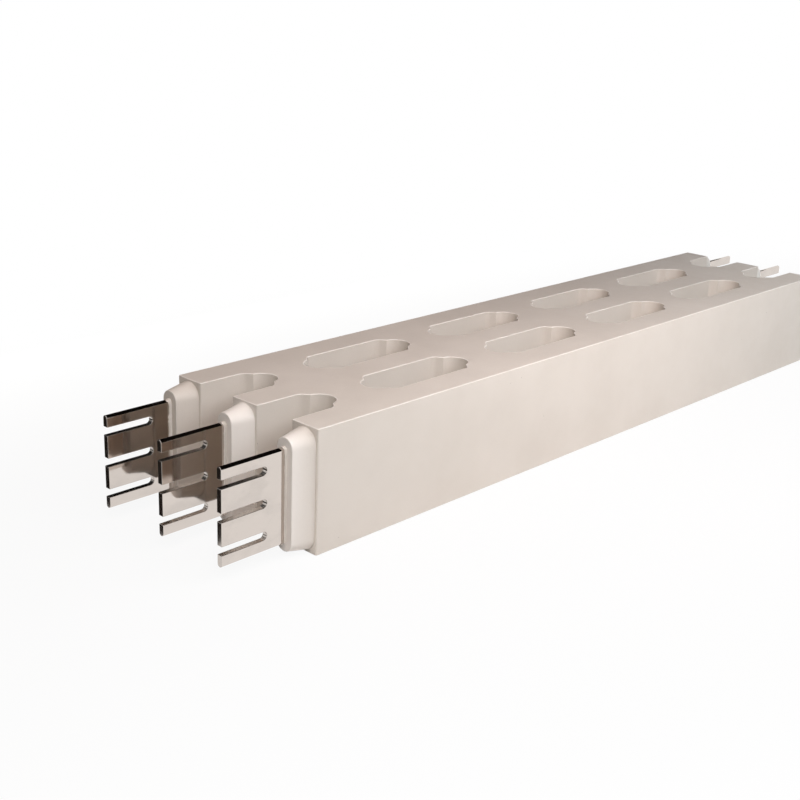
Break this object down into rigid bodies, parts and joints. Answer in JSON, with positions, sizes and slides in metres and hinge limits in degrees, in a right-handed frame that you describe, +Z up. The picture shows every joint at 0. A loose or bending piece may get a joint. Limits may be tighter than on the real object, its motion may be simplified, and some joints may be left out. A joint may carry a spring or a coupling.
{
  "type": "cast-resin busway section",
  "caption": "Cast-resin busway section: flat bright-plated conductors on edge in one cream resin block with rows of air slots, and slotted conductor ends for bolted joints.",
  "frame": {"origin": "middle of the underside of the whole section", "axes": "+X along the conductors, away from the end that is near in the picture; +Y from the front phase to the rear phase; +Z up, towards the upper edge of the conductors"},
  "size_m": [1.535, 0.271, 0.165],
  "materials": {
    "cast_resin": "satin",
    "plated_copper": "polished"
  },
  "bodies": {
    "root": {"resin_casting": "cast_resin", "conductor_front": "plated_copper", "conductor_middle": "plated_copper", "conductor_rear": "plated_copper"}
  },
  "joints": []
}
